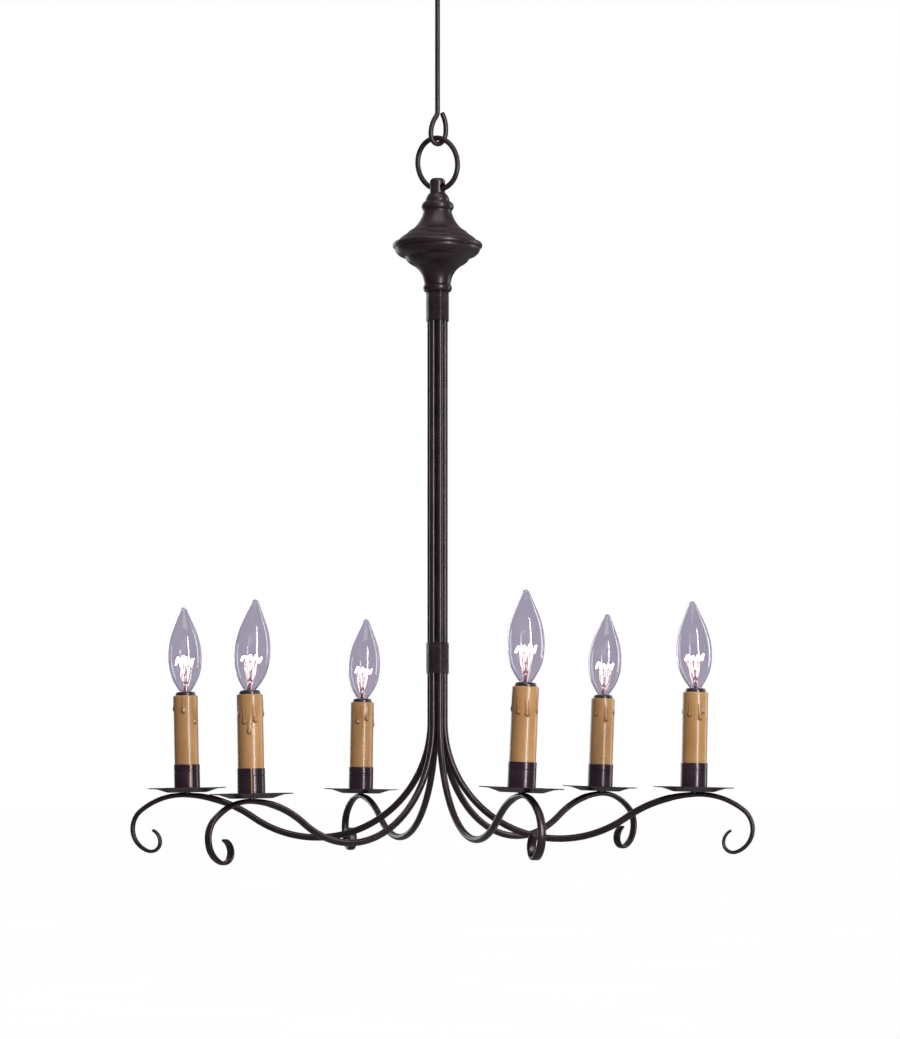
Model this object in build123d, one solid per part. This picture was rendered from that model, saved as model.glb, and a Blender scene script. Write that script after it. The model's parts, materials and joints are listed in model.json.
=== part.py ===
from build123d import *
import math
import os

# Six-arm forged chandelier with electric candles, hung by a hook rod and a loose ring.
# Everything is built in a bench frame (millimetres, +Z up, column on the Z axis, zero near
# the candle pans) and lowered at export, so that the origin is the middle of the rod's
# threaded top end.
HANG_HEIGHT = 736.0

# Column and arms: six steel tubes in a close ring, each bent into one arm.
ARMS = 6
FIRST_ARM_AZIMUTH = -12.6
TUBE_R = 3.175
TUBE_WALL = 0.8
TUBE_CIRCLE_R = 6.44
TUBE_TOP = 484.0
FLARE_Z = 54.9
FLARE_R = 107.0
FLARE_TURN = 123.6
RISE_LENGTH = 2.8
SHOULDER_R = 118.0
SHOULDER_TURN = 33.6
BROW_R = 63.8
BROW_TURN = 39.4
SCROLL_R = 22.0
SCROLL_TURN = 121.0
CURL_R = 8.8
CURL_TURN = 110.0
TIP_R = 12.4
TIP_TURN = 62.0

# Each arm is bent by hand: azimuth trim (deg), flare height trim (mm), first-bend trim (deg).
ARM_TRIMS = [
    (1.2, 0.3, 0.6),
    (0.6, 1.0, 0.3),
    (1.4, -0.6, -0.1),
    (3.2, 0.7, 0.0),
    (-0.3, -2.4, -0.7),
    (0.1, 0.9, 0.2),
]

# Forged end of each arm: half thickness and half width at stations along the forged length.
FORGE_STEP = 0.03
FORGED_SECTIONS = [
    (0.00, TUBE_R + FORGE_STEP, TUBE_R + FORGE_STEP),
    (0.16, 2.40, 3.60),
    (0.40, 2.45, 3.65),
    (0.62, 2.20, 3.90),
    (0.82, 1.75, 4.20),
    (1.00, 1.30, 4.50),
]
FORGE_LEAD = 26.0

# Candles: where each stands on its arm, how it leans and which way its cup seam faces.
PAN_REACH = 236.5
PAN_LIFT = 2.45
CANDLE_LEANS = [1.1, 2.0, 1.0, -1.1, -1.0, 2.3]
BULB_LEANS = [-2.4, 2.9, 2.8, -1.3, 3.6, 0.2]
SEAM_AZIMUTHS = [60.0, 100.0, 45.0, 297.0, 276.0, 80.0]

PAN_R = 36.6
PAN_SHEET = 0.8
PAN_FLAT_R = 18.4
PAN_BEND_R = 28.2
PAN_RIM_Z = 4.6
PAN_RIM_RISE = 0.5
CUP_R = 12.1
CUP_WALL = 0.55
CUP_FLOOR = 0.8
CUP_TOP = 26.1
CUP_SEAM = 1.5
CUP_SEAM_FOOT = 3.0
CUP_GROOVE_DROP = 6.4
CUP_GROOVE = (0.7, 0.25)
SLEEVE_R = 11.4
SLEEVE_WALL = 1.2
SLEEVE_TOP = 90.3
SLEEVE_TOP_ROUND = 1.1
SLEEVE_TOP_WALL = 1.5
SLEEVE_MOUTH_R = 9.5
SLEEVE_GAP = 0.1
STUD_R = 3.0
STUD_BORE_R = 1.8
STUD_TOP = 61.6
STUD_FOOT = -1.4
HOLE_GAP = 0.05
NUT_ACROSS = 10.0
NUT_HEIGHT = 3.2
SOCKET_R = 9.25
SOCKET_FOOT = 55.6
SOCKET_LIP_Z = 93.7
SOCKET_LIP_R = 7.6
SOCKET_BORE_R = 6.55
SOCKET_FLOOR = 75.6
SOCKET_FLOOR_WALL = 4.0
SHELL_R = 6.5
SHELL_WALL = 0.35
SHELL_FLOOR = 0.4
SHELL_HOLE_R = 3.4
SHELL_DROP = 1.0
BASE_R = 5.85
BASE_WALL = 0.35
BASE_FOOT = 78.7
BASE_TOP = 93.4
CONTACT_FOOT = 76.3
CONTACT_R = 4.9

# Glass: an upright neck in the base, and a flame set slightly askew on it. The flame's outline
# starts above the socket lip: a run, two tangent arcs (radius, turn), a taper and a round tip.
GLASS_SKIN = 0.7
GLASS_FOOT = 87.6
GLASS_NECK_R = 5.3
GLASS_NECK_TOP = 94.9
LEAN_PIVOT_Z = 93.6
FLAME_SEAT_R = 4.6
FLAME_FOOT = (6.4, 95.73)
FLAME_HEADING = 58.0
FLAME_RUN = 5.6
FLAME_ARCS = ((42.0, 25.4), (69.3, 29.6))
FLAME_TAPER = 19.0

# Wiring chamber: neck loop, two turned shells, stem and hub.
NECK_R = 7.0
NECK_TOP = 554.8
NECK_FOOT = 533.1
NECK_HOLE_R = 4.1
WIREWAY_R = 2.6
STEM_R = 4.75
STEM_BORE_R = 3.2
STEM_FOOT = 489.0
STEM_TOP = 540.0
RIM_SEAM_Z = 490.6
LOWER_SHELL_FOOT = 450.4
BUNDLE_BORE_R = 9.7
HUB_R = 12.5
HUB_FOOT = 473.0
HUB_TOP = 492.0
HUB_PLATE = 4.0
HUB_WINDOW = (9.0, 7.0)
HUB_WINDOW_DROP = 1.5

# Wire bindings round the tubes.
BINDING_WIRE = 1.0
BINDING_SPANS = [(423.0, 450.3), (99.2, 128.6)]

# Leads: one jacketed pair in each arm.
LEAD_R = 1.0
LEAD_TOP = 487.0
LEAD_BEND_R = 2.5

# Ring and hook rod.
RING_WIRE_R = 2.45
RING_LONG = 25.1
RING_SHORT = 21.4
RING_SLANT = 128.0
RING_YAW = -37.0
RING_CENTRE_Z = 568.6
ROD_R = 2.38
ROD_END_R = 2.08
ROD_TOP = 745.0
ROD_SHOULDER = 727.0
ROD_BEND_Z = 616.8
EYE_YAW = 30.0
EYE_NECK = (9.0, 36.0)
EYE_LEFT = (28.0, 36.0)
EYE_CHEEK = (9.2, 45.0)
EYE_BOTTOM = (6.2, 90.0)
EYE_RIGHT = (15.0, 45.0)
EYE_RIGHT_RUN = 2.4
EYE_TIP = (26.0, 33.5)

os.makedirs("parts", exist_ok=True)


def save(name, shape):
    """Lower a finished piece from the bench frame and write it as one STEP file."""
    export_step(Pos(0, 0, -HANG_HEIGHT) * shape, f"parts/{name}.step")


def turned(outline):
    """Revolve a closed outline, drawn as (radius, height) edges in XY, about the Z axis."""
    face = Rot(90, 0, 0) * make_face(outline)
    return revolve(face, Axis.Z)


def disc(radius, low, high, hole=0.0):
    """A cylinder or washer round the Z axis between two heights."""
    body = Pos(0, 0, low) * extrude(Circle(radius), high - low)
    if hole:
        body -= Pos(0, 0, low - 1) * extrude(Circle(hole), high - low + 2)
    return body


def polygon_turned(points):
    """Revolve a closed polygon of (radius, height) points about the Z axis."""
    return turned(Polyline(*points, close=True).edges())


def section(path, place, half_thickness, half_width):
    """An elliptical section square to the path at a fraction of its length."""
    origin = path @ place
    frame = Plane(origin, x_dir=(0, 0, 1), z_dir=path % place)
    return frame * Ellipse(half_width, half_thickness)


def arm_azimuth(index):
    return FIRST_ARM_AZIMUTH + 360.0 / ARMS * index


def arm_frame(index):
    """Place a shape drawn in XY (x outward from the tube, y up) in its arm's plane."""
    seat = math.radians(arm_azimuth(index))
    x = TUBE_CIRCLE_R * math.cos(seat)
    y = TUBE_CIRCLE_R * math.sin(seat)
    return Location((x, y, 0), (0, 0, arm_azimuth(index) + ARM_TRIMS[index][0])) * Rot(90, 0, 0)


def arm_edges(index):
    """The arm's centre line in its own plane, as tangent runs and arcs."""
    _, lift, turn = ARM_TRIMS[index]
    edges = [Line((0, TUBE_TOP), (0, FLARE_Z + lift))]
    edges.append(JernArc(edges[-1] @ 1, edges[-1] % 1, FLARE_R, FLARE_TURN + turn))
    edges.append(Line(edges[-1] @ 1, (edges[-1] @ 1) + (edges[-1] % 1) * RISE_LENGTH))
    for radius, sweep_angle in (
        (SHOULDER_R, SHOULDER_TURN),
        (BROW_R, BROW_TURN),
        (SCROLL_R, SCROLL_TURN),
        (CURL_R, CURL_TURN),
        (TIP_R, TIP_TURN),
    ):
        edges.append(JernArc(edges[-1] @ 1, edges[-1] % 1, radius, -sweep_angle))
    return edges


def split_shoulder(edges):
    """Split the shoulder arc where the forged length begins."""
    shoulder = edges[3]
    place = 1 - FORGE_LEAD / shoulder.length
    tangent = edges[2] % 1
    plain = JernArc(edges[2] @ 1, tangent, SHOULDER_R, -SHOULDER_TURN * place)
    forged = JernArc(plain @ 1, plain % 1, SHOULDER_R, -SHOULDER_TURN * (1 - place))
    return plain, forged


def pan_place(edges, index):
    """The point on the arm's centre line under the candle, in the arm's own plane."""
    trim = math.radians(ARM_TRIMS[index][0])
    reach = PAN_REACH - TUBE_CIRCLE_R * math.cos(trim)
    centre = edges[3].arc_center
    height = centre.Y + math.sqrt(SHOULDER_R**2 - (reach - centre.X) ** 2)
    return reach, height


def candle_frame(index, edges):
    """Stand a candle, drawn with its pan's underside at zero, on its arm."""
    reach, height = pan_place(edges, index)
    foot = (arm_frame(index) * Pos(reach, height + PAN_LIFT, 0)).position
    return Location(foot, (0, CANDLE_LEANS[index], 0))


def make_arm(index, edges, candle):
    """A tube with a forged, tapering scroll end and a drilled seat for the candle stud."""
    plain_shoulder, forged_shoulder = split_shoulder(edges)
    round_path = Wire(edges[:3] + [plain_shoulder])
    start = Plane((0, TUBE_TOP, 0), x_dir=(1, 0, 0), z_dir=(0, -1, 0))
    body = sweep(start * Circle(TUBE_R), path=round_path)
    bore = sweep(start * Circle(TUBE_R - TUBE_WALL), path=round_path)
    forged_path = Wire([forged_shoulder] + edges[4:])
    sections = [section(forged_path, *station) for station in FORGED_SECTIONS]
    body += sweep(sections, path=forged_path, multisection=True)
    bore_path = Wire([forged_shoulder])
    _, half_thickness, half_width = FORGED_SECTIONS[1]
    bore_r = TUBE_R - TUBE_WALL - FORGE_STEP
    bore_sections = [
        section(bore_path, 0.0, bore_r, bore_r),
        section(bore_path, 1.0, half_thickness - TUBE_WALL, half_width - TUBE_WALL),
    ]
    bore += sweep(bore_sections, path=bore_path, multisection=True)
    arm = arm_frame(index) * (body - bore)
    return arm - candle * disc(STUD_R + HOLE_GAP, STUD_FOOT, PAN_LIFT)


def make_pan():
    """A thin sheet dish with a flat rim, a sloping wall and a stud hole."""
    rim = PAN_RIM_Z
    bend_z = rim - PAN_SHEET - PAN_RIM_RISE
    return polygon_turned([
        (STUD_R + HOLE_GAP, 0),
        (PAN_FLAT_R, 0),
        (PAN_BEND_R, bend_z),
        (PAN_R, rim - PAN_SHEET),
        (PAN_R, rim),
        (PAN_BEND_R, bend_z + PAN_SHEET),
        (PAN_FLAT_R, PAN_SHEET),
        (STUD_R + HOLE_GAP, PAN_SHEET),
    ])


def make_cup(seam_azimuth):
    """A rolled cup with an open seam, a scribed groove and a floor on the pan."""
    cup = disc(CUP_R, PAN_SHEET, CUP_TOP, CUP_R - CUP_WALL)
    cup += disc(CUP_R, PAN_SHEET, PAN_SHEET + CUP_FLOOR, STUD_R + HOLE_GAP)
    groove_width, groove_depth = CUP_GROOVE
    groove_foot = CUP_TOP - CUP_GROOVE_DROP - groove_width / 2
    cup -= disc(CUP_R + 1, groove_foot, groove_foot + groove_width, CUP_R - groove_depth)
    seam_height = CUP_TOP - CUP_SEAM_FOOT + 1
    seam = Pos(CUP_R, 0, CUP_SEAM_FOOT + seam_height / 2) * Box(6, CUP_SEAM, seam_height)
    return cup - Rot(0, 0, seam_azimuth) * seam


def make_sleeve():
    """A candle sleeve, a tube whose top turns in round the socket."""
    foot = PAN_SHEET + CUP_FLOOR + SLEEVE_GAP
    sleeve = disc(SLEEVE_R, foot, SLEEVE_TOP)
    sleeve = fillet(sleeve.edges().group_by(Axis.Z)[-1], SLEEVE_TOP_ROUND)
    sleeve -= disc(SLEEVE_R - SLEEVE_WALL, foot - 1, SLEEVE_TOP - SLEEVE_TOP_WALL)
    return sleeve - disc(SLEEVE_MOUTH_R, foot, SLEEVE_TOP + 1)


def make_stud():
    """A hollow threaded stud that carries the socket and passes the leads."""
    return disc(STUD_R, STUD_FOOT, STUD_TOP, STUD_BORE_R)


def make_nut():
    """A hexagon nut that clamps the cup and pan to the arm."""
    low = PAN_SHEET + CUP_FLOOR
    body = Pos(0, 0, low) * extrude(RegularPolygon(NUT_ACROSS / 2, 6, major_radius=False), NUT_HEIGHT)
    return body - disc(STUD_R + HOLE_GAP, low - 1, low + NUT_HEIGHT + 1)


def make_socket():
    """A moulded candelabra socket with a rounded lip, screw-shell bore and wire chamber."""
    shoulder = SLEEVE_TOP + 0.6
    outline = [
        Line((0, SOCKET_FOOT), (SOCKET_R, SOCKET_FOOT)),
        Line((SOCKET_R, SOCKET_FOOT), (SOCKET_R, shoulder)),
        ThreePointArc((SOCKET_R, shoulder), (SOCKET_R - 0.4, SOCKET_LIP_Z - 1.1), (SOCKET_LIP_R, SOCKET_LIP_Z)),
        Line((SOCKET_LIP_R, SOCKET_LIP_Z), (0, SOCKET_LIP_Z)),
        Line((0, SOCKET_LIP_Z), (0, SOCKET_FOOT)),
    ]
    socket = turned(outline)
    socket -= disc(SOCKET_BORE_R, SOCKET_FLOOR - 0.1, SOCKET_LIP_Z + 1)
    socket -= disc(STUD_R + HOLE_GAP, SOCKET_FOOT - 1, STUD_TOP + 0.5)
    return socket - disc(SOCKET_BORE_R, STUD_TOP + 0.2, SOCKET_FLOOR - SOCKET_FLOOR_WALL)


def make_socket_shell():
    """The brass screw shell in the socket, open below for the centre contact."""
    shell = disc(SHELL_R, SOCKET_FLOOR, SOCKET_LIP_Z - SHELL_DROP, SHELL_R - SHELL_WALL)
    return shell + disc(SHELL_R, SOCKET_FLOOR, SOCKET_FLOOR + SHELL_FLOOR, SHELL_HOLE_R)


def make_contact():
    """The bulb's centre contact button and its insulator, a plug in the screw base."""
    return polygon_turned([
        (0, CONTACT_FOOT),
        (1.6, CONTACT_FOOT),
        (2.1, CONTACT_FOOT + 0.7),
        (CONTACT_R, BASE_FOOT - 0.1),
        (CONTACT_R, BASE_FOOT + 3),
        (0, BASE_FOOT + 3),
    ])


def make_base():
    """The bulb's screw base, a thin shell crimped on the glass neck."""
    return disc(BASE_R, BASE_FOOT, BASE_TOP, BASE_R - BASE_WALL)


def flame(inset):
    """A solid flame shape, from a flat seat in the neck up to its round tip, inset all over."""
    heading = math.radians(FLAME_HEADING)
    across = Vector(-math.sin(heading), math.cos(heading)) * inset
    foot = Vector(*FLAME_FOOT) + across
    edges = [Line(foot, foot + Vector(math.cos(heading), math.sin(heading)) * FLAME_RUN)]
    for radius, turn in FLAME_ARCS:
        edges.append(JernArc(edges[-1] @ 1, edges[-1] % 1, radius - inset, turn))
        heading += math.radians(turn)
    edges.append(Line(edges[-1] @ 1, edges[-1] @ 1 + (edges[-1] % 1) * FLAME_TAPER))
    tip_radius = (edges[-1] @ 1).X / math.sin(heading)
    edges.append(JernArc(edges[-1] @ 1, edges[-1] % 1, tip_radius, 180 - math.degrees(heading)))
    tip = (0, (edges[-1] @ 1).Y)
    seat = (FLAME_SEAT_R - inset, LEAN_PIVOT_Z)
    edges.append(Line(tip, (0, LEAN_PIVOT_Z)))
    edges.append(Line((0, LEAN_PIVOT_Z), seat))
    edges.append(Line(seat, foot))
    return turned(edges)


def make_glass(lean):
    """A clear flame-shaped envelope, set slightly askew on its neck, open at the foot."""
    pivot = Pos(0, 0, LEAN_PIVOT_Z)
    askew = pivot * Rot(0, lean, 0) * pivot.inverse()
    outer = disc(GLASS_NECK_R, GLASS_FOOT, GLASS_NECK_TOP) + askew * flame(0)
    inner = disc(GLASS_NECK_R - GLASS_SKIN, GLASS_FOOT - 1, GLASS_NECK_TOP) + askew * flame(GLASS_SKIN)
    return outer - inner


def make_lead(index, edges, candle):
    """A jacketed pair along the arm's bore, turned up through the stud to the socket."""
    reach, height = pan_place(edges, index)
    centre = edges[3].arc_center
    end_x = reach - LEAD_BEND_R
    sweep_angle = SHOULDER_TURN - math.degrees(math.asin((centre.X - end_x) / SHOULDER_R))
    sweep_angle += ARM_TRIMS[index][2]
    shoulder = JernArc(edges[2] @ 1, edges[2] % 1, SHOULDER_R, -sweep_angle)
    heading = math.degrees(math.atan2((shoulder % 1).Y, (shoulder % 1).X))
    rise = JernArc(shoulder @ 1, shoulder % 1, LEAD_BEND_R, 90 - heading)
    top = Line((0, LEAD_TOP), edges[0] @ 1)
    start = Plane((0, LEAD_TOP, 0), x_dir=(1, 0, 0), z_dir=(0, -1, 0))
    inner = sweep(start * Circle(LEAD_R), path=Wire([top, edges[1], edges[2], shoulder, rise]))
    return arm_frame(index) * inner + candle * disc(LEAD_R, LEAD_BEND_R - PAN_LIFT - 0.6, STUD_TOP)


def make_binding(low, high):
    """A wrap of wire round the six tubes, as one rounded six-sided collar."""
    flat = TUBE_CIRCLE_R * math.cos(math.pi / ARMS) + TUBE_R
    rings = []
    for grow in (BINDING_WIRE, HOLE_GAP):
        hexagon = RegularPolygon(flat + grow, ARMS, major_radius=False, rotation=0)
        rings.append(fillet(hexagon.vertices(), TUBE_R + grow))
    ring = rings[0] - rings[1]
    return Pos(0, 0, low) * Rot(0, 0, FIRST_ARM_AZIMUTH) * extrude(ring, high - low)


def make_neck_loop():
    """The turned loop on top: the ring passes its cross hole, the stem screws in below."""
    outline = [
        Line((0, NECK_FOOT), (11.4, NECK_FOOT)),
        Line((11.4, NECK_FOOT), (11.2, NECK_FOOT + 0.8)),
        ThreePointArc((11.2, NECK_FOOT + 0.8), (9.9, 538.2), (NECK_R, 541.4)),
        Line((NECK_R, 541.4), (NECK_R, NECK_TOP - 3)),
        JernArc((NECK_R, NECK_TOP - 3), (0, 1), 3, 90),
        Line((NECK_R - 3, NECK_TOP), (0, NECK_TOP)),
        Line((0, NECK_TOP), (0, NECK_FOOT)),
    ]
    loop = turned(outline)
    loop -= disc(STEM_R + HOLE_GAP, NECK_FOOT - 1, STEM_TOP + 0.2)
    loop -= disc(WIREWAY_R, NECK_FOOT, ring_hole_z())
    drill = Rot(0, 0, RING_YAW) * Rot(0, 90, 0) * Cylinder(NECK_HOLE_R, 4 * NECK_R)
    return loop - Pos(0, 0, ring_hole_z()) * drill


def make_upper_shell():
    """The hollow upper bell, from its top bead down to the widest rim."""
    outline = [
        Line((STEM_R + HOLE_GAP, 532.9), (12.6, 532.9)),
        ThreePointArc((12.6, 532.9), (14.9, 529.1), (13.2, 525.2)),
        Line((13.2, 525.2), (13.0, 524.4)),
        ThreePointArc((13.0, 524.4), (16.4, 515.8), (22.8, 508.0)),
        ThreePointArc((22.8, 508.0), (26.6, 505.6), (29.4, 502.7)),
        ThreePointArc((29.4, 502.7), (33.3, 500.3), (36.3, 497.3)),
        Line((36.3, 497.3), (38.2, 496.1)),
        ThreePointArc((38.2, 496.1), (41.3, 493.2), (39.8, RIM_SEAM_Z)),
        Line((39.8, RIM_SEAM_Z), (37.6, RIM_SEAM_Z)),
        Line((37.6, RIM_SEAM_Z), (28.6, 499.2)),
        ThreePointArc((28.6, 499.2), (16.2, 508.6), (11.2, 522.0)),
        Line((11.2, 522.0), (11.2, 529.0)),
        Line((11.2, 529.0), (STEM_R + HOLE_GAP, 529.0)),
        Line((STEM_R + HOLE_GAP, 529.0), (STEM_R + HOLE_GAP, 532.9)),
    ]
    return turned(outline)


def make_lower_shell():
    """The hollow lower bell, from under the rim down to the bead above the binding."""
    seat = RIM_SEAM_Z - 0.1
    outline = [
        Line((35.0, seat), (39.4, seat)),
        Line((39.4, seat), (39.0, 488.6)),
        ThreePointArc((39.0, 488.6), (36.8, 485.4), (32.4, 483.0)),
        Line((32.4, 483.0), (30.0, 482.2)),
        ThreePointArc((30.0, 482.2), (27.6, 478.6), (23.4, 475.6)),
        ThreePointArc((23.4, 475.6), (15.6, 468.2), (12.2, 458.0)),
        Line((12.2, 458.0), (12.0, 457.2)),
        ThreePointArc((12.0, 457.2), (13.3, 453.9), (11.4, LOWER_SHELL_FOOT)),
        Line((11.4, LOWER_SHELL_FOOT), (BUNDLE_BORE_R, LOWER_SHELL_FOOT)),
        Line((BUNDLE_BORE_R, LOWER_SHELL_FOOT), (BUNDLE_BORE_R, 461.0)),
        ThreePointArc((BUNDLE_BORE_R, 461.0), (13.6, 470.4), (21.6, 478.0)),
        Line((21.6, 478.0), (28.2, 484.6)),
        Line((28.2, 484.6), (35.0, seat)),
    ]
    return turned(outline)


def make_hub():
    """The yoke brazed round the tube tops, with windows for the leads and a threaded top."""
    hub = disc(HUB_R, HUB_FOOT, HUB_TOP)
    hub -= disc(BUNDLE_BORE_R, HUB_FOOT - 1, HUB_TOP - HUB_PLATE)
    hub -= disc(STEM_R + HOLE_GAP, HUB_FOOT, HUB_TOP + 1)
    window = Pos(0, 0, TUBE_TOP - HUB_WINDOW_DROP) * Box(4 * HUB_R, *HUB_WINDOW)
    return hub - window


def ring_hole_z():
    """The height of the neck's cross hole, midway in the arc of wire that passes it."""
    slant = math.radians(RING_SLANT)
    stretch = math.hypot(RING_LONG * math.sin(slant), RING_SHORT * math.cos(slant))
    drop = RING_LONG * RING_SHORT / math.hypot(
        RING_SHORT * math.sin(slant), RING_LONG * math.cos(slant)
    )
    sag = NECK_R**2 * drop / (2 * stretch**2)
    return RING_CENTRE_Z - drop + sag


def make_ring():
    """A slightly oval hand-bent ring, standing on edge in its own vertical plane."""
    oval = (Rot(0, 0, RING_SLANT) * Ellipse(RING_LONG, RING_SHORT)).edge()
    start = Plane(oval @ 0, z_dir=oval % 0)
    ring = sweep(start * Circle(RING_WIRE_R), path=oval)
    return Location((0, 0, RING_CENTRE_Z), (0, 0, RING_YAW)) * Rot(90, 0, 0) * ring


def make_hook_rod():
    """A straight rod with a threaded top end, its foot bent into a teardrop eye."""
    rod = Line((0, ROD_SHOULDER), (0, ROD_BEND_Z))
    edges = [rod, JernArc(rod @ 1, rod % 1, EYE_NECK[0], -EYE_NECK[1])]
    for radius, turn in (EYE_LEFT, EYE_CHEEK, EYE_BOTTOM, EYE_RIGHT):
        edges.append(JernArc(edges[-1] @ 1, edges[-1] % 1, radius, turn))
    edges.append(Line(edges[-1] @ 1, (edges[-1] @ 1) + (edges[-1] % 1) * EYE_RIGHT_RUN))
    edges.append(JernArc(edges[-1] @ 1, edges[-1] % 1, *EYE_TIP))
    start = Plane((0, ROD_SHOULDER, 0), x_dir=(1, 0, 0), z_dir=(0, -1, 0))
    body = Rot(0, 0, EYE_YAW) * Rot(90, 0, 0) * sweep(start * Circle(ROD_R), path=Wire(edges))
    return body + disc(ROD_END_R, ROD_SHOULDER - 0.5, ROD_TOP)


def build():
    save("hook_rod", make_hook_rod())
    save("hanging_ring", make_ring())
    save("neck_loop", make_neck_loop())
    save("upper_shell", make_upper_shell())
    save("lower_shell", make_lower_shell())
    save("centre_stem", disc(STEM_R, STEM_FOOT, STEM_TOP, STEM_BORE_R))
    save("tube_hub", make_hub())
    save("wire_bindings", Compound(children=[make_binding(*span) for span in BINDING_SPANS]))
    groups = {"candle_studs": [], "candle_nuts": [], "socket_shells": [], "arm_leads": []}
    for index in range(ARMS):
        number = index + 1
        edges = arm_edges(index)
        candle = candle_frame(index, edges)
        save(f"arm_{number}", make_arm(index, edges, candle))
        save(f"candle_pan_{number}", candle * make_pan())
        save(f"candle_cup_{number}", candle * make_cup(SEAM_AZIMUTHS[index]))
        save(f"candle_sleeve_{number}", candle * make_sleeve())
        save(f"lamp_socket_{number}", candle * make_socket())
        save(f"bulb_contact_{number}", candle * make_contact())
        save(f"bulb_base_{number}", candle * make_base())
        save(f"bulb_glass_{number}", candle * make_glass(BULB_LEANS[index] - CANDLE_LEANS[index]))
        groups["candle_studs"].append(candle * make_stud())
        groups["candle_nuts"].append(candle * make_nut())
        groups["socket_shells"].append(candle * make_socket_shell())
        groups["arm_leads"].append(make_lead(index, edges, candle))
    for name, pieces in groups.items():
        save(name, Compound(children=pieces))


build()
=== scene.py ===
import json
import math
import random

import bmesh
import bpy
import numpy as np
from mathutils import Matrix, Vector, noise


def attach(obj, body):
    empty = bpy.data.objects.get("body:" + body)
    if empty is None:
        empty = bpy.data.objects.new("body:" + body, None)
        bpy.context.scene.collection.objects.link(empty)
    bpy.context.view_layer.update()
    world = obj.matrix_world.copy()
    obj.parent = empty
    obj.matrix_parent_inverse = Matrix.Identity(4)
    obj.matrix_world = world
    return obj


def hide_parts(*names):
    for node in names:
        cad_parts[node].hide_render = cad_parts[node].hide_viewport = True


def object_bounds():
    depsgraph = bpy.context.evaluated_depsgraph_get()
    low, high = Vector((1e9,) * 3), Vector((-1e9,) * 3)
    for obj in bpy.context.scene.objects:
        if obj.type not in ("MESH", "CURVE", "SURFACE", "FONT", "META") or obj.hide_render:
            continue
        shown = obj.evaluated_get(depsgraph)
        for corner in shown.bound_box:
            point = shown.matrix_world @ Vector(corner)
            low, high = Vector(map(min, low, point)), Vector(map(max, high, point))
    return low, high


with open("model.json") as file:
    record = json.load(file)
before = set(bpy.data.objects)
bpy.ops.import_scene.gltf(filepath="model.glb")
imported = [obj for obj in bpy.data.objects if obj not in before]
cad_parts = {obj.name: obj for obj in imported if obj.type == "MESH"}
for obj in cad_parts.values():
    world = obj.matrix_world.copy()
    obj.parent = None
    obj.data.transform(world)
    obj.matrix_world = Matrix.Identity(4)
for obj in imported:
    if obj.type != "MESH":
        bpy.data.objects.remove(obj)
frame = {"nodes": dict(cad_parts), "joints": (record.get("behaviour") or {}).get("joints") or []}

cad_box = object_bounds()

# Sizes are in millimetres in a bench frame (+Z up, column on the Z axis, zero near the pans).
# bench() lowers them by the rod's height and turns them into metres.
MM = 0.001
HANG_HEIGHT = 736.0

# Column and arms.
ARMS = 6
FIRST_ARM_AZIMUTH = -12.6
TUBE_R = 3.175
TUBE_CIRCLE_R = 6.44
TUBE_TOP = 484.0
FLARE_Z = 54.9
FLARE = (107.0, 123.6)
RISE_LENGTH = 2.8
SHOULDER = (118.0, 33.6)
BROW = (63.8, 39.4)
SCROLL = (22.0, 121.0)
CURL = (8.8, 110.0)
TIP = (12.4, 62.0)
TIP_ROUNDING = [(0.12, 0.97), (0.22, 0.90)]
FORGE_LEAD = 26.0
ARM_TRIMS = [
    (1.2, 0.3, 0.6),
    (0.6, 1.0, 0.3),
    (1.4, -0.6, -0.1),
    (3.2, 0.7, 0.0),
    (-0.3, -2.4, -0.7),
    (0.1, 0.9, 0.2),
]

# Half thickness, half width and squareness at stations along an arm's forged end.
FORGED_SECTIONS = [
    (0.00, 3.17, 3.18, 2.0),
    (0.16, 2.40, 3.60, 2.1),
    (0.40, 2.45, 3.65, 2.3),
    (0.62, 2.20, 3.90, 2.5),
    (0.82, 1.75, 4.20, 2.9),
    (1.00, 1.30, 4.50, 3.4),
]

# Wire bindings: foot and top of each, the wire's thickness and its spacing.
BINDING_SPANS = [(423.0, 450.3), (99.2, 128.6)]
BINDING_WIRE = 1.0
BINDING_PITCH = 0.98
TUCK_START = 30
TUCK_POINTS = 9
TUCK_DROP = 1.2
TUCK_SLANT = 0.75
TUCK_OVER = 1.055

# Ring and hook rod.
RING_WIRE_R = 2.45
RING_LONG = 25.1
RING_SHORT = 21.4
RING_SLANT = 128.0
RING_YAW = -37.0
RING_CENTRE_Z = 568.6
RING_JOINT_STEP = 6
ROD_R = 2.38
ROD_SHOULDER = 727.0
ROD_TOP = 745.0
ROD_BEND_Z = 616.8
EYE_YAW = 30.0
EYE_TURNS = [
    (9.0, -36.0), (28.0, 36.0), (9.2, 45.0), (6.2, 90.0), (15.0, 45.0), (None, 2.4), (26.0, 33.5)
]
THREAD_PITCH = 0.8
THREAD_ROOT_R = 2.06
THREAD_CREST_R = 2.36
THREAD_OVERLAP = 0.5
THREAD_ROW = 0.1

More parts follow.
